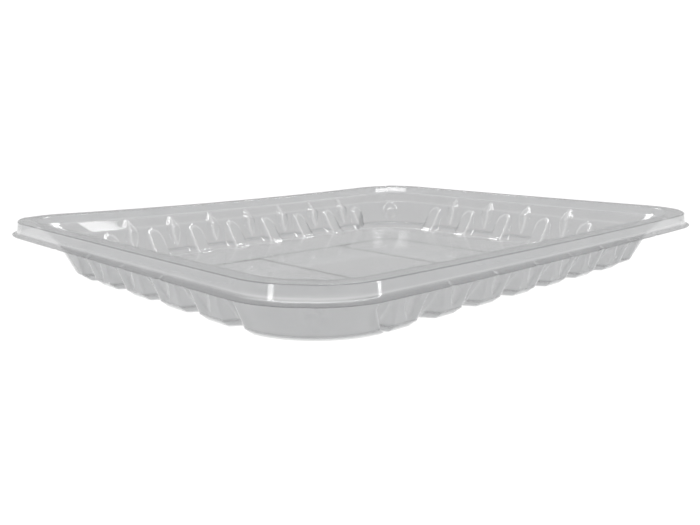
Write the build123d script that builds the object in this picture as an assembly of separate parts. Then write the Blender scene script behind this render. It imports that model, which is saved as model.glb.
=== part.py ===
from build123d import *

import os
from math import radians, sqrt, tan

# A shallow nursery tray, thermoformed from one clear sheet, written as zones that meet face to face.
# Millimetres. The origin is the centre of the footprint, on the surface that the tray stands on.
# +X runs along a long side, +Y points to the back long side and +Z is up.
# An inset is measured inwards from the flange's outer edge, and a depth down from the flange's top.

# The whole tray, without the lip's flare.
LENGTH = 380.0
WIDTH = 309.0
HEIGHT = 36.0
SHEET = 0.6

# Rim: a flat flange, a skirt that hangs from its edge and a lip that flares out below the skirt.
FLANGE_WIDTH = 10.0
RIM_CORNER_RADIUS = 43.0
SKIRT_DROP = 6.6
SKIRT_LEAN = 0.8
LIP_DROP = 1.6
LIP_FLARE = 3.6

# Walls: a short upright bend, a seat with a small step, a sloping shoulder, the steeper wall below
# it and a bevel to the floor.
BEND_DEPTH = 1.2
SEAT_DEPTH = 5.8
SEAT_STEP = 1.3
WALL_TOP_INSET = 13.5
SHOULDER_DEPTH = 13.0
SHOULDER_INSET = 18.5
WALL_FOOT_DEPTH = 32.0
WALL_FOOT_INSET = 25.0
FLOOR_EDGE_INSET = 29.0
FLOOR_CORNER_RADIUS = 46.0

# Arches: round ribs that stand out of the wall more and more from the shoulder to the floor.
ARCH_TOP_RADIUS = 6.5
ARCH_RADIUS = 8.0
ARCH_KNEE_PROUD = 7.8
ARCH_FOOT_PROUD = 6.5
LONG_ARCH_COUNT = 8
LONG_ARCH_PITCH = 35.0
SHORT_ARCH_COUNT = 5
SHORT_ARCH_PITCH = 37.5

# Leaves: ribs half way between the arches, with a hood that rises to the step and a pointed foot.
LEAF_TIP_RADIUS = 0.8
LEAF_TIP_PROUD = 0.2
LEAF_RADIUS = 5.0
LEAF_PROUD = 5.0
LEAF_HOOD_DEPTH = 14.5
LEAF_FOOT_RADIUS = 1.6
LEAF_FOOT_PROUD = 0.6
RIB_END_DEPTH = 29.5
THINNEST_RIB = 0.2

# Corner ribs: one broad, shallow rib in each corner, below the shoulder.
CORNER_RIB_TOP_RADIUS = 2.0
CORNER_RIB_RADIUS = 7.0
CORNER_RIB_PROUD = 3.2
CORNER_RIB_MIDDLE_DEPTH = 20.0
CORNER_RIB_FOOT_RADIUS = 3.0

# Beads pressed up in the floor: a rounded frame and two cross beads.
BEAD_FRAME_LENGTH = 200.0
BEAD_FRAME_WIDTH = 140.0
BEAD_FRAME_RADIUS = 14.0
BEAD_WIDTH = 1.6
BEAD_HEIGHT = 0.5
CROSS_BEAD_X = 40.0

# Where the one sheet is divided into zones.
FLOOR_ZONE_INSET = 38.5
FLOOR_ZONE_RADIUS = 38.0
CORNER_ZONE_LENGTH = 58.0
CORNER_ZONE_WIDTH = 68.0

# How far a cutting solid passes the face that it cuts.
PAST = 5.0


def corner_radius(inset):
    """Plan radius of the tub's corners, which open out from the flange down to the floor."""
    top_radius = RIM_CORNER_RADIUS - FLANGE_WIDTH
    growth = (FLOOR_CORNER_RADIUS - top_radius) / (FLOOR_EDGE_INSET - FLANGE_WIDTH)
    return top_radius + growth * (inset - FLANGE_WIDTH)


def wall_inset(depth):
    """Inset of the wall's inside face at a depth from the shoulder down."""
    slope = (WALL_FOOT_INSET - SHOULDER_INSET) / (WALL_FOOT_DEPTH - SHOULDER_DEPTH)
    return SHOULDER_INSET + slope * (depth - SHOULDER_DEPTH)


def outline(inset, depth, outwards):
    """Rounded rectangle at an inset and a depth, moved outwards by the sheet or not at all."""
    plan = RectangleRounded(
        LENGTH - 2 * (inset - outwards),
        WIDTH - 2 * (inset - outwards),
        corner_radius(inset) + outwards,
    )
    return Pos(0, 0, HEIGHT - depth) * plan


def tub(outwards, top_depth):
    """Solid that fills the tub to its inside face, or to its outside face, one sheet outwards."""
    levels = [
        outline(FLANGE_WIDTH, top_depth, outwards),
        outline(FLANGE_WIDTH, BEND_DEPTH, outwards),
        outline(WALL_TOP_INSET - SEAT_STEP, SEAT_DEPTH - SEAT_STEP, outwards),
        outline(WALL_TOP_INSET, SEAT_DEPTH, outwards),
        outline(SHOULDER_INSET, SHOULDER_DEPTH, outwards),
        outline(WALL_FOOT_INSET, WALL_FOOT_DEPTH, outwards),
        outline(FLOOR_EDGE_INSET, HEIGHT - SHEET + outwards, outwards),
    ]
    return loft(levels, ruled=True)


def straight_reach(inset):
    """Distance from the flange's edge to an inset, square to a straight wall."""
    return inset


def corner_reach(inset):
    """Distance from the sharp corner of the plan to an inset, along the corner's diagonal."""
    radius = corner_radius(inset)
    return sqrt(2) * (inset + radius) - radius


def rib(stations, reach, thinner):
    """Rib that grows along +Y out of a wall, as a stack of cones through its stations."""
    rings = []
    for depth, inset, proud, radius in stations:
        centre = Pos(0, reach(inset) + proud - radius, HEIGHT - depth)
        rings.append(centre * Circle(max(radius - thinner, THINNEST_RIB)))
    return loft(rings, ruled=True)


def arch(reach, thinner):
    """Arch rib, open at the floor. It is thinner by the sheet for the recess behind it."""
    foot = (FLOOR_EDGE_INSET, ARCH_FOOT_PROUD, ARCH_RADIUS)
    stations = [
        (SHOULDER_DEPTH, SHOULDER_INSET, 0, ARCH_TOP_RADIUS),
        (WALL_FOOT_DEPTH, WALL_FOOT_INSET, ARCH_KNEE_PROUD, ARCH_RADIUS),
        (HEIGHT - SHEET, *foot),
        (HEIGHT + PAST, *foot),
    ]
    return rib(stations, reach, thinner)


def leaf(reach, thinner):
    """Leaf rib, from its tip on the step, over its hood, to its pointed foot."""
    stations = [
        (SEAT_DEPTH, WALL_TOP_INSET, LEAF_TIP_PROUD, LEAF_TIP_RADIUS),
        (LEAF_HOOD_DEPTH, wall_inset(LEAF_HOOD_DEPTH), LEAF_PROUD, LEAF_RADIUS),
        (RIB_END_DEPTH, wall_inset(RIB_END_DEPTH), LEAF_FOOT_PROUD, LEAF_FOOT_RADIUS),
    ]
    return rib(stations, reach, thinner)


def corner_rib(reach, thinner):
    """Broad rib that swells out of the corner below the shoulder and fades above the floor."""
    middle = CORNER_RIB_MIDDLE_DEPTH
    stations = [
        (SHOULDER_DEPTH, SHOULDER_INSET, LEAF_TIP_PROUD, CORNER_RIB_TOP_RADIUS),
        (middle, wall_inset(middle), CORNER_RIB_PROUD, CORNER_RIB_RADIUS),
        (RIB_END_DEPTH, wall_inset(RIB_END_DEPTH), LEAF_FOOT_PROUD, CORNER_RIB_FOOT_RADIUS),
    ]
    return rib(stations, reach, thinner)


def spread(count, pitch):
    """Offsets of a row of ribs about the middle of its wall."""
    return [pitch * (i - (count - 1) / 2) for i in range(count)]


def wall_ribs(turn, half_depth, count, pitch, thinner):
    """Arches of one wall with a leaf between each two, turned round the tray to that wall."""
    wall = Rot(0, 0, turn) * Pos(0, -half_depth, 0)
    arches = [Pos(x, 0, 0) * arch(straight_reach, thinner) for x in spread(count, pitch)]
    leaves = [Pos(x, 0, 0) * leaf(straight_reach, thinner) for x in spread(count - 1, pitch)]
    return [wall * shape for shape in arches + leaves]


def corner_ribs(thinner):
    """One broad rib on the diagonal of each corner."""
    ribs = []
    for side_x, side_y, turn in ((-1, -1, -45), (1, -1, 45), (1, 1, 135), (-1, 1, -135)):
        corner = Pos(side_x * LENGTH / 2, side_y * WIDTH / 2, 0)
        ribs.append(corner * Rot(0, 0, turn) * corner_rib(corner_reach, thinner))
    return ribs


def all_ribs(thinner):
    """Every rib of the tray."""
    ribs = corner_ribs(thinner)
    for turn in (0, 180):
        ribs += wall_ribs(turn, WIDTH / 2, LONG_ARCH_COUNT, LONG_ARCH_PITCH, thinner)
    for turn in (90, 270):
        ribs += wall_ribs(turn, LENGTH / 2, SHORT_ARCH_COUNT, SHORT_ARCH_PITCH, thinner)
    return ribs


def floor_zone(height):
    """Prism over the flat middle of the floor."""
    plan = RectangleRounded(
        LENGTH - 2 * FLOOR_ZONE_INSET, WIDTH - 2 * FLOOR_ZONE_INSET, FLOOR_ZONE_RADIUS
    )
    return extrude(plan, amount=height)


def walls():
    """Ribbed walls, as one thin shell from the flange's underside to the edge of the floor zone."""
    outside = tub(SHEET, SHEET).cut(*all_ribs(SHEET))
    inside = tub(0, -PAST).cut(*all_ribs(0))
    return outside.cut(inside, floor_zone(HEIGHT))


def block(low_x, high_x, low_y, high_y):
    """Upright block that selects one zone of the walls."""
    plan = Rectangle(high_x - low_x, high_y - low_y)
    middle = Pos((low_x + high_x) / 2, (low_y + high_y) / 2, -PAST)
    return middle * extrude(plan, amount=HEIGHT + 2 * PAST)


def wall_zones():
    """The walls, divided into four straight runs and four corners."""
    shell = walls()
    end_x = LENGTH / 2
    end_y = WIDTH / 2
    turn_x = end_x - CORNER_ZONE_LENGTH
    turn_y = end_y - CORNER_ZONE_WIDTH
    spans = {
        "front_wall": (-turn_x, turn_x, -end_y, -turn_y),
        "back_wall": (-turn_x, turn_x, turn_y, end_y),
        "left_wall": (-end_x, -turn_x, -turn_y, turn_y),
        "right_wall": (turn_x, end_x, -turn_y, turn_y),
        "front_left_corner": (-end_x, -turn_x, -end_y, -turn_y),
        "front_right_corner": (turn_x, end_x, -end_y, -turn_y),
        "back_right_corner": (turn_x, end_x, turn_y, end_y),
        "back_left_corner": (-end_x, -turn_x, turn_y, end_y),
    }
    return {name: shell & block(*span) for name, span in spans.items()}


def bead_plan(width):
    """Plan of the floor's beads at a width: a rounded frame and two cross beads inside it."""
    half = width / 2
    outer = RectangleRounded(
        BEAD_FRAME_LENGTH + width, BEAD_FRAME_WIDTH + width, BEAD_FRAME_RADIUS + half
    )
    inner = RectangleRounded(
        BEAD_FRAME_LENGTH - width, BEAD_FRAME_WIDTH - width, BEAD_FRAME_RADIUS - half
    )
    plan = outer - inner
    for x in (-CROSS_BEAD_X, CROSS_BEAD_X):
        plan += Pos(x, 0, 0) * Rectangle(width, BEAD_FRAME_WIDTH)
    return plan


def floor_panel():
    """Flat middle of the floor. Each bead stands up inside and is recessed underneath."""
    raised = extrude(bead_plan(BEAD_WIDTH), amount=SHEET + BEAD_HEIGHT)
    recess = extrude(bead_plan(BEAD_WIDTH / 2), amount=BEAD_HEIGHT)
    return floor_zone(SHEET) + raised - recess


def rim_section():
    """Section of the flange, skirt and lip in the XZ plane, with the flange's edge at x = 0."""
    skirt_foot = HEIGHT - SKIRT_DROP
    lip_foot = skirt_foot - LIP_DROP
    bend = SHEET * tan(radians(30))
    return Polyline(
        (FLANGE_WIDTH, HEIGHT),
        (0, HEIGHT),
        (-SKIRT_LEAN, skirt_foot),
        (-LIP_FLARE, lip_foot),
        (-LIP_FLARE, lip_foot - SHEET),
        (SHEET - SKIRT_LEAN, skirt_foot - bend),
        (SHEET, HEIGHT - SHEET),
        (FLANGE_WIDTH, HEIGHT - SHEET),
        close=True,
    )


def rim_face():
    """The rim's section as a face that stands on the left edge of the plan."""
    return Plane.XZ * make_face(rim_section())


def rim_run(turn, half_depth, run):
    """Straight length of rim, turned round the tray to its side."""
    face = Pos(-half_depth, run / 2, 0) * rim_face()
    return Rot(0, 0, turn) * extrude(face, amount=run, dir=(0, -1, 0))


def rim_corner(side_x, side_y, turn):
    """Quarter turn of rim about the centre of one corner."""
    face = Pos(-RIM_CORNER_RADIUS, 0, 0) * rim_face()
    quarter = revolve(face, axis=Axis.Z, revolution_arc=90)
    centre_x = side_x * (LENGTH / 2 - RIM_CORNER_RADIUS)
    centre_y = side_y * (WIDTH / 2 - RIM_CORNER_RADIUS)
    return Pos(centre_x, centre_y, 0) * Rot(0, 0, turn) * quarter


def rim_zones():
    """The rim, divided into four straight runs and four corners."""
    long_run = LENGTH - 2 * RIM_CORNER_RADIUS
    short_run = WIDTH - 2 * RIM_CORNER_RADIUS
    return {
        "left_rim": rim_run(0, LENGTH / 2, short_run),
        "front_rim": rim_run(90, WIDTH / 2, long_run),
        "right_rim": rim_run(180, LENGTH / 2, short_run),
        "back_rim": rim_run(270, WIDTH / 2, long_run),
        "front_left_rim_corner": rim_corner(-1, -1, 0),
        "front_right_rim_corner": rim_corner(1, -1, 90),
        "back_right_rim_corner": rim_corner(1, 1, 180),
        "back_left_rim_corner": rim_corner(-1, 1, 270),
    }


def tray():
    """Every zone of the tray by its node's name."""
    return {"floor_panel": floor_panel(), **wall_zones(), **rim_zones()}


os.makedirs("parts", exist_ok=True)
for name, zone in tray().items():
    export_step(zone, f"parts/{name}.step")
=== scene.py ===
from collections import namedtuple
from math import cos, hypot, pi, radians, sin, tan

import bpy
import numpy as np
from mathutils import Matrix, Vector
from mathutils.geometry import delaunay_2d_cdt


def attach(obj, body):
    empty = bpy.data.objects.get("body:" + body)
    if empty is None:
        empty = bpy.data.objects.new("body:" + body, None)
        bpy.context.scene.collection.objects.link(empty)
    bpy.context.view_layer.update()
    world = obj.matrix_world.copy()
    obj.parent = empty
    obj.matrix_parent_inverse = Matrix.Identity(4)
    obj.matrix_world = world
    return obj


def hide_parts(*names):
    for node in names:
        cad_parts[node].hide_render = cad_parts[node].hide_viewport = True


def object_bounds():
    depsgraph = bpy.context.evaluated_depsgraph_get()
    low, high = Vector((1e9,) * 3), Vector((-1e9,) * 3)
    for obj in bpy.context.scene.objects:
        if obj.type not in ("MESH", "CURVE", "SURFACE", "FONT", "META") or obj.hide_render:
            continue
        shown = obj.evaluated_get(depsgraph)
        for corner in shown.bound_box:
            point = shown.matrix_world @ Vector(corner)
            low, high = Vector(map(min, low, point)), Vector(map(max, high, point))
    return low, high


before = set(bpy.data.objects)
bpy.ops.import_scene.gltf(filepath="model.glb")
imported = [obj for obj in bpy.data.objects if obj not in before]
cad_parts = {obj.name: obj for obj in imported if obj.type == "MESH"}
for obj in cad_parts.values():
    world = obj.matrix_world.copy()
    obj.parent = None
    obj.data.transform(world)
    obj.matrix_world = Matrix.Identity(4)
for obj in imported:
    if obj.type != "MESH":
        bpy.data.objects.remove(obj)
cad_low, cad_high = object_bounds()

# The tray is one sheet, so one mesh stands for every zone of it. Lengths are in millimetres up to
# the last step, which scales the mesh to metres. An inset is measured inwards from the flange's
# outer edge, and a depth down from the flange's top.
MM = 0.001

LIP_FLARE = 3.6
LENGTH = (cad_high.x - cad_low.x) / MM - 2 * LIP_FLARE
WIDTH = (cad_high.y - cad_low.y) / MM - 2 * LIP_FLARE
HEIGHT = (cad_high.z - cad_low.z) / MM
SHEET = 0.6

# Rim: flange, skirt and lip. Each side sags a little between its corners.
FLANGE_WIDTH = 10.0
RIM_CORNER_RADIUS = 43.0
SKIRT_DROP = 7.0
SKIRT_LEAN = 0.8
LIP_DROP = 1.2
FRONT_SAG = 1.6
BACK_SAG = 2.8
END_SAG = 0.4

# Walls: a steep seat with a short slanting ledge at its foot, the wall's upper and lower slopes,
# and a flatter slope out on to the floor.
SEAT_DEPTH = 5.8
LEDGE = 1.3
WALL_TOP_INSET = 13.5
SHOULDER_DEPTH = 13.0
SHOULDER_INSET = 18.5
WALL_FOOT_DEPTH = 32.0
WALL_FOOT_INSET = 25.0
FLOOR_DEPTH = HEIGHT - SHEET
FLOOR_EDGE_INSET = 29.0
FLOOR_CORNER_RADIUS = 46.0
FLOOR_RADIUS_LOSS = 0.4

# Radii of the bends, from the lip inwards.
SKIRT_FOOT_BEND = 0.7
FLANGE_EDGE_BEND = 0.6
FLANGE_INNER_BEND = 1.2
LEDGE_TOP_BEND = 0.6
LEDGE_FOOT_BEND = 0.9
WALL_BEND = 1.6
FLOOR_BEND = 1.5

# Rows of ribs: round-topped arches, with a pointed leaf between each two.
LONG_ARCH_COUNT = 8
LONG_ARCH_PITCH = 35.0
SHORT_ARCH_COUNT = 5
SHORT_ARCH_PITCH = 37.5

# Sections down a rib: depth, how far its face stands out, and the half widths of its face and of
# its whole relief.
ARCH = (
    (13.0, 0.0, 0.0, 0.0),
    (14.2, 0.5, 0.0, 3.4),
    (15.5, 1.0, 0.0, 5.0),
    (17.0, 1.6, 3.0, 6.2),
    (19.0, 2.5, 4.4, 7.0),
    (22.0, 3.7, 5.0, 7.6),
    (32.0, 7.8, 5.4, 9.0),
    (FLOOR_DEPTH, 6.5, 5.8, 10.5),
)
LEAF = (
    (5.8, 0.0, 0.0, 0.5),
    (9.0, 1.9, 0.6, 2.2),
    (12.0, 3.6, 1.8, 4.2),
    (14.5, 5.0, 2.6, 5.2),
    (17.0, 4.5, 3.0, 5.4),
    (22.0, 3.0, 2.4, 4.4),
    (26.0, 1.8, 1.3, 2.9),
    (29.5, 0.4, 0.0, 0.6),
)
CORNER_RIB = (
    (13.0, 0.0, 0.0, 0.0),
    (15.0, 1.0, 0.0, 3.6),
    (17.0, 2.1, 1.2, 6.0),
    (20.0, 3.2, 3.0, 7.8),
    (23.0, 2.7, 3.0, 7.8),
    (26.0, 1.6, 2.0, 6.0),
    (29.5, 0.2, 0.0, 2.0),
)

# How far past its last section a rib still stands out, the least width of its flanks, and how much
# of their rise is eased.
RIB_TAIL = 1.0
LEAST_FLANK = 0.1
FLANK_EASING = 0.6

# Ramp on the floor at each arch's foot.
TOE_INSETS = (26.5, 28.8, 33.5)
TOE_HEIGHTS = (0.0, 1.3, 0.0)
TOE_HALF_WIDTH = 6.0
TOE_FLANK = 1.5

# Floor beads: a rounded frame, crossed by two lines.
BEAD_FRAME_LENGTH = 200.0
BEAD_FRAME_WIDTH = 140.0
BEAD_FRAME_RADIUS = 14.0
BEAD_WIDTH = 1.6
BEAD_HEIGHT = 0.06
BEAD_LINE_REACH = 0.8 * BEAD_WIDTH
CROSS_BEAD_X = 40.0
CROSS_BEAD_GAP = 1.3 * BEAD_WIDTH
BEAD_CLEARANCE = 2 * BEAD_WIDTH

# Mesh density. The row next to the cut edge is close to it, to keep the edge's painted shade narrow.
ROW_STEP = 0.9
EDGE_ROW_SHARE = 0.2
BEND_STEP = radians(14)
LEAST_BEND_STEPS = 3
BEND_SHARE = 0.48
LONG_STEPS = 300
SHORT_STEPS = 226
CORNER_STEPS = 60
FLOOR_MESH_INSET = 45.0
FLOOR_GRID = 9.0
FLOOR_GRID_RADIUS = 36.0
BEAD_ARC_STEPS = 12
HALF_BEAD_STEPS = 4
SHARP_ANGLE = radians(50)

# Further across than any rib reaches.
FAR_AWAY = 1000.0

Columns = namedtuple("Columns", "side is_corner share")


def smooth(share):
    """Eases a share from 0 to 1."""
    return share * share * (3 - 2 * share)


# ---------------------------------------------------------------- the section of the sheet


def rounded_corners(points):
    """Polyline through points (across, down, radius), with a curve of its radius at each point."""
    path = [np.array(points[0][:2], float)]
    for before, here, after in zip(points, points[1:], points[2:]):
        corner = np.array(here[:2], float)
        into = np.array(before[:2], float) - corner
        out = np.array(after[:2], float) - corner
        into_length, out_length = np.linalg.norm(into), np.linalg.norm(out)
        into, out = into / into_length, out / out_length
        half_angle = np.arccos(np.clip(into @ out, -1, 1)) / 2
        longest = BEND_SHARE * min(into_length, out_length)
        setback = min(here[2] / tan(half_angle), longest)
        start, end = corner + into * setback, corner + out * setback
        steps = max(LEAST_BEND_STEPS, int(round((pi - 2 * half_angle) / BEND_STEP)))
        for i in range(steps + 1):
            t = i / steps
            path.append((1 - t) ** 2 * start + 2 * t * (1 - t) * corner + t * t * end)
    path.append(np.array(points[-1][:2], float))
    return path


def divided(path, step):
    """The same polyline, with no two points further apart than a step."""
    dense = [path[0]]
    for here in path[1:]:
        start = dense[-1]
        count = max(1, int(np.ceil(np.linalg.norm(here - start) / step)))
        dense += [start + (here - start) * i / count for i in range(1, count + 1)]
    return np.array(dense)


def sheet_section():
    """Inset and depth of the sheet's upper face, from the lip's cut edge to the flat of the floor."""
    corners = [
        (-LIP_FLARE, SKIRT_DROP + LIP_DROP, 0),
        (-SKIRT_LEAN, SKIRT_DROP, SKIRT_FOOT_BEND),
        (0, 0, FLANGE_EDGE_BEND),
        (FLANGE_WIDTH, 0, FLANGE_INNER_BEND),
        (WALL_TOP_INSET - LEDGE, SEAT_DEPTH - LEDGE, LEDGE_TOP_BEND),
        (WALL_TOP_INSET, SEAT_DEPTH, LEDGE_FOOT_BEND),
        (SHOULDER_INSET, SHOULDER_DEPTH, WALL_BEND),
        (WALL_FOOT_INSET, WALL_FOOT_DEPTH, WALL_BEND),
        (FLOOR_EDGE_INSET, FLOOR_DEPTH, FLOOR_BEND),
        (FLOOR_MESH_INSET, FLOOR_DEPTH, 0),
    ]
    path = divided(rounded_corners(corners), ROW_STEP)
    by_edge = path[0] + EDGE_ROW_SHARE * (path[1] - path[0])
    return np.insert(path, 1, by_edge, axis=0)


# ---------------------------------------------------------------- the plan of the sheet


def corner_radius(inset):
    """Plan radius of a corner: the rim's follow its edge, and the tub's open out downwards."""
    tub_top = RIM_CORNER_RADIUS - FLANGE_WIDTH
    if inset < FLANGE_WIDTH:
        return RIM_CORNER_RADIUS - inset
    if inset < FLOOR_EDGE_INSET:
        growth = (FLOOR_CORNER_RADIUS - tub_top) / (FLOOR_EDGE_INSET - FLANGE_WIDTH)
        return tub_top + growth * (inset - FLANGE_WIDTH)
    return FLOOR_CORNER_RADIUS - FLOOR_RADIUS_LOSS * (inset - FLOOR_EDGE_INSET)


def perimeter_columns():
    """Columns round the tray: side number, whether it is a corner, and the share of it passed."""
    columns = []
    for side, steps in enumerate((LONG_STEPS, SHORT_STEPS, LONG_STEPS, SHORT_STEPS)):
        columns += [(side, False, i / steps) for i in range(steps)]
        columns += [(side, True, i / CORNER_STEPS) for i in range(CORNER_STEPS)]
    return Columns(*(np.array(values) for values in zip(*columns)))


def plan_points(inset, columns):
    """Position, inward direction and distance from the middle of its side, for each column."""
    radius = corner_radius(inset)
    half_long, half_short = LENGTH / 2 - inset, WIDTH / 2 - inset
    on_long = columns.side % 2 == 0
    run = np.where(on_long, half_long, half_short) - radius
    half_deep = np.where(on_long, half_short, half_long)
    bend = columns.share * pi / 2
    along = np.where(columns.is_corner, run + radius * np.sin(bend), run * (2 * columns.share - 1))
    deep = np.where(columns.is_corner, half_deep - radius * (1 - np.cos(bend)), half_deep)
    turn = columns.side * pi / 2
    x = along * np.cos(turn) + deep * np.sin(turn)
    y = along * np.sin(turn) - deep * np.cos(turn)
    facing = turn - pi / 2 + np.where(columns.is_corner, bend, 0)
    inward = np.stack([-np.cos(facing), -np.sin(facing)], 1)
    corner_arc = radius * (columns.share - 0.5) * pi / 2
    return np.stack([x, y], 1), inward, along, corner_arc


# ---------------------------------------------------------------- the ribs

# Where a rib's outline gets its painted highlight and its face its painted shade: the outline's
# width, how far out the rib has to stand before its outline is at full strength, how far in from the
# outline the face's painted shade is at full strength, and the step down the rib that its outline's
# slope is taken over.
OUTLINE_WIDTH = 0.5
OUTLINE_FULL_PROUD = 0.8
FACE_FADE = 1.2
SLOPE_STEP = 0.5


def nearest_offset(along, count, pitch):
    """Signed distance along a wall to the nearest rib of a centred row."""
    index = np.clip(np.round(along / pitch + (count - 1) / 2), 0, count - 1)
    return along - pitch * (index - (count - 1) / 2)


def across_row(along, columns, fewer):
    """Signed distance to the nearest rib of a row with so many ribs fewer than it has arches."""
    return np.where(
        columns.side % 2 == 0,
        nearest_offset(along, LONG_ARCH_COUNT - fewer, LONG_ARCH_PITCH),
        nearest_offset(along, SHORT_ARCH_COUNT - fewer, SHORT_ARCH_PITCH),
    )


def pressed(rib, depth, across):
    """Relief of a rib at a depth and a distance across it, with the shares of its outline's painted
    highlight and its face's painted shade.
    """
    depths, prouds, half_faces, half_bases = zip(*rib)
    proud = np.interp(depth, depths, prouds)
    face = np.interp(depth, depths, half_faces)
    base = np.interp(depth, depths, half_bases)
    if not depths[0] < depth < depths[-1] + RIB_TAIL:
        proud = face = base = 0.0
    away = np.abs(across)
    ramp = np.clip((base - away) / max(base - face, LEAST_FLANK), 0, 1)
    relief = proud * ((1 - FLANK_EASING) * ramp + FLANK_EASING * smooth(ramp))
    slope = (np.interp(depth + SLOPE_STEP, depths, half_faces) - face) / SLOPE_STEP
    from_outline = (face - away) / hypot(1, slope)
    present = min(1.0, proud / OUTLINE_FULL_PROUD) * (face > 0)
    outline = present * np.exp(-((from_outline / OUTLINE_WIDTH) ** 2))
    inside = present * np.clip(from_outline / FACE_FADE, 0, 1)
    return relief, outline, inside


def rib_relief(depth, columns, along, corner_arc):
    """Inward relief of the ribs at one depth, with the strength of their outlines' painted highlight
    and their faces' painted shade.
    """
    leaf_across = np.where(columns.is_corner, FAR_AWAY, across_row(along, columns, 1))
    arch = pressed(ARCH, depth, across_row(along, columns, 0))
    leaf = pressed(LEAF, depth, leaf_across)
    corner_across = np.where(columns.is_corner, corner_arc, FAR_AWAY)
    corner_relief = pressed(CORNER_RIB, depth, corner_across)[0]
    relief, outline, inside = (np.maximum(a, b) for a, b in zip(arch, leaf))
    return np.maximum(relief, corner_relief), outline, inside


def arch_toe(inset, columns, along):
    """Height of the small ramp that each arch runs out on to the floor with."""
    across = np.abs(across_row(along, columns, 0))
    height = np.interp(inset, TOE_INSETS, TOE_HEIGHTS)
    return height * np.clip((TOE_HALF_WIDTH - across) / TOE_FLANK, 0, 1)


# ---------------------------------------------------------------- walls and rim


def rim_sag(points):
    """How far the long, thin rim hangs between its corners."""
    x, y = points.T
    on_long = np.abs(y) / WIDTH > np.abs(x) / LENGTH
    long_sag = np.where(y > 0, BACK_SAG, FRONT_SAG) * np.clip(1 - (2 * x / LENGTH) ** 2, 0, 1)
    end_sag = END_SAG * np.clip(1 - (2 * y / WIDTH) ** 2, 0, 1)
    return np.where(on_long, long_sag, end_sag)


def wall_rows(section, columns):
    """Rows of points from the lip's edge to the floor, with the painted highlight of rib outlines and
    the painted shade of rib faces.
    """
    rows, outlines, faces = [], [], []
    for inset, depth in section:
        points, inward, along, corner_arc = plan_points(inset, columns)
        outline = face = np.zeros(len(along))
        if depth > SEAT_DEPTH:
            relief, outline, face = rib_relief(depth, columns, along, corner_arc)
            past_edge = max(0.0, inset - FLOOR_EDGE_INSET)
            fade = max(0.0, 1 - past_edge / (FLOOR_MESH_INSET - FLOOR_EDGE_INSET))
            points = points + inward * (relief * fade)[:, None]
            on_wall = max(0.0, 1 - past_edge)
            outline, face = outline * on_wall, face * on_wall
        loose = max(0.0, 1 - depth / WALL_FOOT_DEPTH)
        z = HEIGHT - depth - rim_sag(points) * loose + arch_toe(inset, columns, along)
        rows.append(np.column_stack([points, z]))
        outlines.append(outline)
        faces.append(face)
    return np.array(rows), np.array(outlines), np.array(faces)


def wall_faces(row_count, column_count):
    """Quads between each row and the next, all the way round."""
    faces = []
    for row in range(row_count - 1):
        above, below = row * column_count, (row + 1) * column_count
        for here in range(column_count):
            there = (here + 1) % column_count
            faces.append((above + here, above + there, below + there, below + here))
    return faces


# ---------------------------------------------------------------- floor


def bead_distance(x, y):
    """Distance from a point of the floor to the nearest bead's middle line."""
    out_x = abs(x) - BEAD_FRAME_LENGTH / 2 + BEAD_FRAME_RADIUS
    out_y = abs(y) - BEAD_FRAME_WIDTH / 2 + BEAD_FRAME_RADIUS
    outside = hypot(max(out_x, 0), max(out_y, 0))
    inside = min(max(out_x, out_y), 0)
    to_frame = abs(outside + inside - BEAD_FRAME_RADIUS)
    if abs(y) < BEAD_FRAME_WIDTH / 2:
        return min(to_frame, abs(abs(x) - CROSS_BEAD_X))
    return to_frame


def frame_line(offset):
    """Points round the bead frame, at an offset outwards from its middle line."""
    points = []
    radius = BEAD_FRAME_RADIUS + offset
    for turn, (sign_x, sign_y) in enumerate(((1, -1), (1, 1), (-1, 1), (-1, -1))):
        centre_x = sign_x * (BEAD_FRAME_LENGTH / 2 - BEAD_FRAME_RADIUS)
        centre_y = sign_y * (BEAD_FRAME_WIDTH / 2 - BEAD_FRAME_RADIUS)
        for i in range(BEAD_ARC_STEPS + 1):
            angle = (turn - 1 + i / BEAD_ARC_STEPS) * pi / 2
            points.append((centre_x + radius * cos(angle), centre_y + radius * sin(angle)))
    return points


def grid_points():
    """Plan points spread over the floor, clear of its edge and its beads."""
    points = []
    half_x = LENGTH / 2 - FLOOR_MESH_INSET
    half_y = WIDTH / 2 - FLOOR_MESH_INSET
    for x in np.arange(-half_x, half_x, FLOOR_GRID) + FLOOR_GRID / 2:
        for y in np.arange(-half_y, half_y, FLOOR_GRID) + FLOOR_GRID / 2:
            corner_x = max(0, abs(x) - half_x + FLOOR_GRID_RADIUS)
            corner_y = max(0, abs(y) - half_y + FLOOR_GRID_RADIUS)
            within = hypot(corner_x, corner_y) < FLOOR_GRID_RADIUS - FLOOR_GRID / 3
            if within and bead_distance(x, y) > BEAD_CLEARANCE:
                points.append((x, y))
    return points


def loop_edges(start, count):
    """Edges that join a run of points into a closed loop."""
    return [(start + i, start + (i + 1) % count) for i in range(count)]


def floor_plan(ring):
    """Plan points and fixed edges of the floor inside a ring of points."""
    points = [(x, y) for x, y, _ in ring]
    edges = loop_edges(0, len(points))
    steps = range(-HALF_BEAD_STEPS, HALF_BEAD_STEPS + 1)
    offsets = [BEAD_WIDTH / HALF_BEAD_STEPS * step for step in steps]
    for offset in offsets:
        line = frame_line(offset)
        edges += loop_edges(len(points), len(line))
        points += line
    cross_end = BEAD_FRAME_WIDTH / 2 - CROSS_BEAD_GAP
    for side in (-1, 1):
        for offset in offsets:
            x = side * CROSS_BEAD_X + offset
            edges.append((len(points), len(points) + 1))
            points += [(x, -cross_end), (x, cross_end)]
    return points + grid_points(), edges


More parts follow.
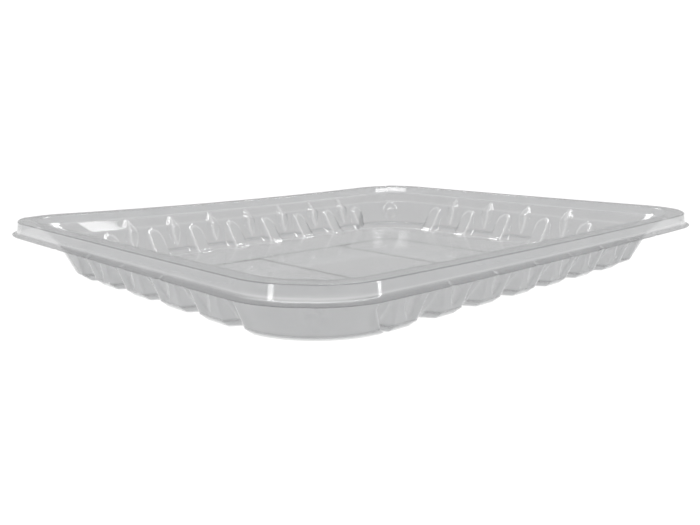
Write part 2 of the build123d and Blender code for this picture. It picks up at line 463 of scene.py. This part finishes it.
def add_floor(verts, faces, ring_start):
    """Fills the last row of vertices with the floor, and returns the painted shade of its new
    vertices, dark along the beads.
    """
    ring_count = len(verts) - ring_start
    points, edges = floor_plan(verts[ring_start:])
    inside_only, tolerance = 1, 1e-6
    mesh = delaunay_2d_cdt([Vector(p) for p in points], edges, [], inside_only, tolerance)
    found, _, triangles, sources = mesh[:4]
    index, bead_shade = [], []
    for point, origins in zip(found, sources):
        on_ring = [origin for origin in origins if origin < ring_count]
        if on_ring:
            index.append(ring_start + on_ring[0])
            continue
        away = bead_distance(point.x, point.y)
        rise = BEAD_HEIGHT * smooth(max(0.0, 1 - away / (BEAD_WIDTH / 2)))
        index.append(len(verts))
        verts.append([point.x, point.y, HEIGHT - FLOOR_DEPTH + rise])
        # Painted shade: dark lines along the beads.
        bead_shade.append(float(away < BEAD_LINE_REACH))
    faces += [tuple(index[i] for i in triangle) for triangle in triangles]
    return bead_shade


# ---------------------------------------------------------------- painted shade and highlights for the material

# Painted shade: how strong it is, how far it reaches and where it lies.
FLANGE_EDGE_SHADE = 0.7
FLANGE_EDGE_REACH = 0.5
CUT_EDGE_REACH = 0.1
LIP_SHADE = 0.06
LIP_START = SKIRT_LEAN + 0.2
WALL_FOOT_SHADE = 0.4

# Painted highlights: how strong they are, how far they reach and where they lie.
CREASE_REACH = 0.8
SEAT_PAINTED_HIGHLIGHT = 0.6
SHOULDER_PAINTED_HIGHLIGHT = 0.25
SKIRT_FOOT_PAINTED_HIGHLIGHT = 0.2
SKIRT_FOOT_REACH = 0.4
SKIRT_FOOT_INSET = -SKIRT_LEAN - 0.1
CORNER_FOOT_PAINTED_HIGHLIGHT = 1.5
CORNER_FOOT_REACH = 0.3
CORNER_FOOT_INSET = -SKIRT_LEAN - 0.15


def near(values, target, reach):
    """1 at a target, fading to 0 over a reach."""
    return np.exp(-(((values - target) / reach) ** 2))


def painted_shade_marks(section, rib_faces):
    """Painted shade: dark at the flange's and lip's edges, on the lip, and at the wall's foot between
    ribs.
    """
    inset, depth = section.T
    at_edge = (depth < FLANGE_EDGE_REACH) & (np.abs(inset) < FLANGE_EDGE_REACH)
    rim = np.maximum(FLANGE_EDGE_SHADE * at_edge, near(inset, -LIP_FLARE, CUT_EDGE_REACH))
    rim = np.maximum(rim, LIP_SHADE * (inset < -LIP_START))
    foot = WALL_FOOT_SHADE * near(depth, WALL_FOOT_DEPTH, CREASE_REACH)
    between_ribs = 1 - np.clip(2 * rib_faces, 0, 1)
    return np.maximum(rim[:, None], foot[:, None] * between_ribs)


def painted_highlight_marks(section, columns, outlines):
    """Painted highlights: rib outlines, the creases at seat and shoulder, and the skirt's foot."""
    inset, depth = section.T
    creases = SEAT_PAINTED_HIGHLIGHT * near(depth, SEAT_DEPTH, CREASE_REACH)
    creases = np.maximum(creases, SHOULDER_PAINTED_HIGHLIGHT * near(depth, SHOULDER_DEPTH, CREASE_REACH))
    skirt_foot = near(inset, SKIRT_FOOT_INSET, SKIRT_FOOT_REACH)
    creases = np.maximum(creases, SKIRT_FOOT_PAINTED_HIGHLIGHT * skirt_foot)
    corner_foot = CORNER_FOOT_PAINTED_HIGHLIGHT * near(inset, CORNER_FOOT_INSET, CORNER_FOOT_REACH)
    round_corner = columns.is_corner * np.sin(columns.share * pi)
    return np.maximum(creases[:, None], outlines) + corner_foot[:, None] * round_corner


def add_mark(mesh, name, walls, floor):
    """Stores one number per vertex: the walls' rows, then the floor's own vertices."""
    values = np.concatenate([walls.ravel(), floor]).astype(np.float32)
    mesh.attributes.new(name, "FLOAT", "POINT").data.foreach_set("value", values)


# ---------------------------------------------------------------- material

UPPER_FILM = (0.345, 0.35, 0.355), (0.395, 0.40, 0.40)
UNDER_FILM = (0.49, 0.495, 0.50), (0.55, 0.555, 0.56)
FILM_OPACITY = 0.5
FILM_IOR = 1.45
GLOSS_ROUGHNESS = (0.04, 0.10)
CLOUD_SCALE = 60
CLOUD_DETAIL = 4
# Painted over the film: shade on rib faces, highlights along ribs and creases, and shade at bends and
# in the tub.
RIB_FACE_SHADE_COLOR = (0.2, 0.205, 0.205)
PAINTED_HIGHLIGHT_COLOR = (0.75, 0.75, 0.75)
PAINTED_SHADE_COLOR = (0.05, 0.052, 0.055)


def mixed(nodes, links, low, high, factor):
    """Mix of two colours by a factor. The low one may be another node's output."""
    mix = nodes.new("ShaderNodeMix")
    mix.data_type = "RGBA"
    if isinstance(low, tuple):
        mix.inputs["A"].default_value = (*low, 1)
    else:
        links.new(low, mix.inputs["A"])
    mix.inputs["B"].default_value = (*high, 1)
    links.new(factor, mix.inputs["Factor"])
    return mix.outputs["Result"]


def marked(nodes, links, name, strength):
    """A mark on the mesh, at a strength."""
    mark = nodes.new("ShaderNodeAttribute")
    mark.attribute_name = name
    scaled = nodes.new("ShaderNodeMath")
    scaled.operation = "MULTIPLY"
    scaled.inputs[1].default_value = strength
    links.new(mark.outputs["Fac"], scaled.inputs[0])
    return scaled.outputs[0]


def clear_sheet(name, film, tub_shade, rib_painted_light):
    """Clear plastic sheet: a grey film with gloss, with painted highlights along its ribs and
    creases, and painted shade at its bends, on its rib faces and in its tub.
    """
    material = bpy.data.materials.new(name)
    material.use_nodes = True
    nodes, links = material.node_tree.nodes, material.node_tree.links
    shader = nodes["Principled BSDF"]
    shader.inputs["IOR"].default_value = FILM_IOR
    shader.inputs["Alpha"].default_value = FILM_OPACITY

    place = nodes.new("ShaderNodeTexCoord")
    cloud = nodes.new("ShaderNodeTexNoise")
    cloud.inputs["Scale"].default_value = CLOUD_SCALE
    cloud.inputs["Detail"].default_value = CLOUD_DETAIL
    links.new(place.outputs["Object"], cloud.inputs["Vector"])

    tint = mixed(nodes, links, *film, cloud.outputs["Fac"])
    # Painted shade in the tub, at bends and on rib faces, and painted highlights along ribs and
    # creases.
    for mark, color, strength in (
        ("tub", PAINTED_SHADE_COLOR, tub_shade),
        ("bend", PAINTED_SHADE_COLOR, 1.0),
        ("rib_face_shade", RIB_FACE_SHADE_COLOR, rib_painted_light),
        ("painted_highlight", PAINTED_HIGHLIGHT_COLOR, rib_painted_light),
    ):
        tint = mixed(nodes, links, tint, color, marked(nodes, links, mark, strength))
    links.new(tint, shader.inputs["Base Color"])

    gloss = nodes.new("ShaderNodeMapRange")
    gloss.inputs["To Min"].default_value, gloss.inputs["To Max"].default_value = GLOSS_ROUGHNESS
    links.new(cloud.outputs["Fac"], gloss.inputs["Value"])
    links.new(gloss.outputs["Result"], shader.inputs["Roughness"])
    return material


# ---------------------------------------------------------------- the tray


def upper_face():
    """Mesh of the sheet's whole upper face, in metres, with its marks."""
    section, columns = sheet_section(), perimeter_columns()
    rows, outlines, rib_faces = wall_rows(section, columns)
    row_count, column_count = rows.shape[:2]
    verts = rows.reshape(-1, 3).tolist()
    faces = wall_faces(row_count, column_count)
    bead_shade = add_floor(verts, faces, (row_count - 1) * column_count)

    mesh = bpy.data.meshes.new("tray_sheet")
    mesh.from_pydata([[c * MM for c in v] for v in verts], [], faces)
    unmarked = np.zeros(len(bead_shade))
    # Painted shade inside the tub, at bends, along the beads and on rib faces; painted highlights
    # along ribs and creases.
    in_tub = np.repeat(section[:, 1] > SEAT_DEPTH, column_count)
    add_mark(mesh, "tub", in_tub, unmarked + 1)
    add_mark(mesh, "bend", painted_shade_marks(section, rib_faces), bead_shade)
    add_mark(mesh, "painted_highlight", painted_highlight_marks(section, columns, outlines), unmarked)
    add_mark(mesh, "rib_face_shade", rib_faces, unmarked)
    mesh.validate()
    mesh.update()
    return mesh


def make_tray():
    """The sheet at its full thickness, with one film above and another below and on cut edges."""
    mesh = upper_face()
    mesh.materials.append(clear_sheet("clear_sheet", UPPER_FILM, tub_shade=0.6, rib_painted_light=0.58))
    mesh.materials.append(clear_sheet("clear_sheet_underside", UNDER_FILM, tub_shade=0, rib_painted_light=0))
    tray = bpy.data.objects.new("tray_sheet", mesh)
    bpy.context.collection.objects.link(tray)
    thick = tray.modifiers.new("sheet", "SOLIDIFY")
    thick.thickness = SHEET * MM
    thick.offset = -1
    thick.material_offset = 1
    thick.material_offset_rim = 1
    graph = bpy.context.evaluated_depsgraph_get()
    solid = bpy.data.meshes.new_from_object(tray.evaluated_get(graph))
    tray.modifiers.clear()
    tray.data = solid
    solid.name = "tray_sheet"
    solid.polygons.foreach_set("use_smooth", [True] * len(solid.polygons))
    solid.set_sharp_from_angle(angle=SHARP_ANGLE)

    # Clear sheet lets the light through: it throws no shadow, and it doesn't shade itself.
    tray.visible_shadow = False
    tray.visible_diffuse = False
    return tray


# ---------------------------------------------------------------- stage, in metres

STAGE_HALF_SIZE = 6.0
STAGE_GAP = 0.0002
STAGE_COLOR = (0.9, 0.9, 0.9)
STAGE_ROUGHNESS = 0.9
SKY_STRENGTH = 1.2
MIRRORED_SKY_STRENGTH = 0.43

# A line of sight can cross far more faces of clear sheet than the usual 8.
MOST_CROSSINGS = 32

# The camera looks down by its pitch. Its yaw is counted from the X axis towards the Y axis.
CAMERA_AT = (-0.3612, -0.3544, 0.0983)
CAMERA_PITCH = 10.84
CAMERA_YAW = 45.68
CAMERA_LENS = 37.92
CAMERA_SENSOR = 36


def matt(name, color, roughness):
    """Plain material without gloss."""
    material = bpy.data.materials.new(name)
    material.use_nodes = True
    shader = material.node_tree.nodes["Principled BSDF"]
    shader.inputs["Base Color"].default_value = (*color, 1)
    shader.inputs["Roughness"].default_value = roughness
    shader.inputs["Specular IOR Level"].default_value = 0
    return material


def make_floor():
    """Pale floor that the tray stands on."""
    far, z = STAGE_HALF_SIZE, cad_low.z - STAGE_GAP
    corners = [(-far, -far, z), (far, -far, z), (far, far, z), (-far, far, z)]
    mesh = bpy.data.meshes.new("floor")
    mesh.from_pydata(corners, [], [(0, 1, 2, 3)])
    mesh.materials.append(matt("floor", STAGE_COLOR, STAGE_ROUGHNESS))
    floor = bpy.data.objects.new("floor", mesh)
    bpy.context.collection.objects.link(floor)


def make_sky():
    """Even white light from all round, dimmer where the sheet mirrors it."""
    world = bpy.data.worlds.new("studio")
    world.use_nodes = True
    nodes, links = world.node_tree.nodes, world.node_tree.links
    direct = nodes["Background"]
    direct.inputs["Color"].default_value = (1, 1, 1, 1)
    direct.inputs["Strength"].default_value = SKY_STRENGTH
    mirrored = nodes.new("ShaderNodeBackground")
    mirrored.inputs["Strength"].default_value = MIRRORED_SKY_STRENGTH
    path = nodes.new("ShaderNodeLightPath")
    mix = nodes.new("ShaderNodeMixShader")
    links.new(path.outputs["Is Glossy Ray"], mix.inputs["Fac"])
    links.new(direct.outputs[0], mix.inputs[1])
    links.new(mirrored.outputs[0], mix.inputs[2])
    links.new(mix.outputs[0], nodes["World Output"].inputs["Surface"])
    bpy.context.scene.world = world


def area_light(name, at, towards, along, width, height, brightness):
    """Rectangular light that shows only as a reflection. Its width lies along a direction."""
    data = bpy.data.lights.new(name, "AREA")
    data.shape = "RECTANGLE"
    data.size, data.size_y = width, height
    data.energy = brightness * pi * width * height
    light = bpy.data.objects.new(name, data)
    light.location = at
    back = (Vector(at) - Vector(towards)).normalized()
    side = Vector(along)
    side = (side - side.dot(back) * back).normalized()
    up = back.cross(side)
    light.rotation_euler = Matrix((side, up, back)).transposed().to_euler()
    light.visible_camera = False
    light.visible_diffuse = False
    bpy.context.collection.objects.link(light)


def make_lights():
    """Two soft boxes above the tray, and two upright strips that the near corner's skirt mirrors."""
    middle = (0, 0, 0)
    near_corner = (-0.18, -0.15, 0.03)
    area_light(
        "overhead", at=(-0.02, -0.045, 0.95), towards=middle, along=(0.73, -0.68, 0),
        width=1.1, height=0.2, brightness=16,
    )
    area_light(
        "beyond", at=(0.68, 0.68, 0.78), towards=middle, along=(1, -1, 0),
        width=0.36, height=0.2, brightness=14,
    )
    area_light(
        "left_strip", at=(-0.63, -0.13, 0.15), towards=near_corner, along=(0, 1, 0),
        width=0.055, height=0.4, brightness=16,
    )
    area_light(
        "right_strip", at=(0.056, -0.415, 0.15), towards=near_corner, along=(1, 1, 0),
        width=0.03, height=0.4, brightness=20,
    )


def make_camera():
    """Camera low over the near corner, at the photograph's viewing angle."""
    data = bpy.data.cameras.new("camera")
    data.sensor_width = CAMERA_SENSOR
    data.lens = CAMERA_LENS
    camera = bpy.data.objects.new("camera", data)
    camera.location = CAMERA_AT
    camera.rotation_euler = (radians(90 - CAMERA_PITCH), 0, radians(CAMERA_YAW - 90))
    bpy.context.collection.objects.link(camera)
    bpy.context.scene.camera = camera


tray = make_tray()
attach(tray, "root")
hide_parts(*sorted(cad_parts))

make_floor()
make_sky()
make_lights()
make_camera()

bpy.context.scene.cycles.transparent_max_bounces = MOST_CROSSINGS
bpy.context.scene.view_settings.view_transform = "Standard"
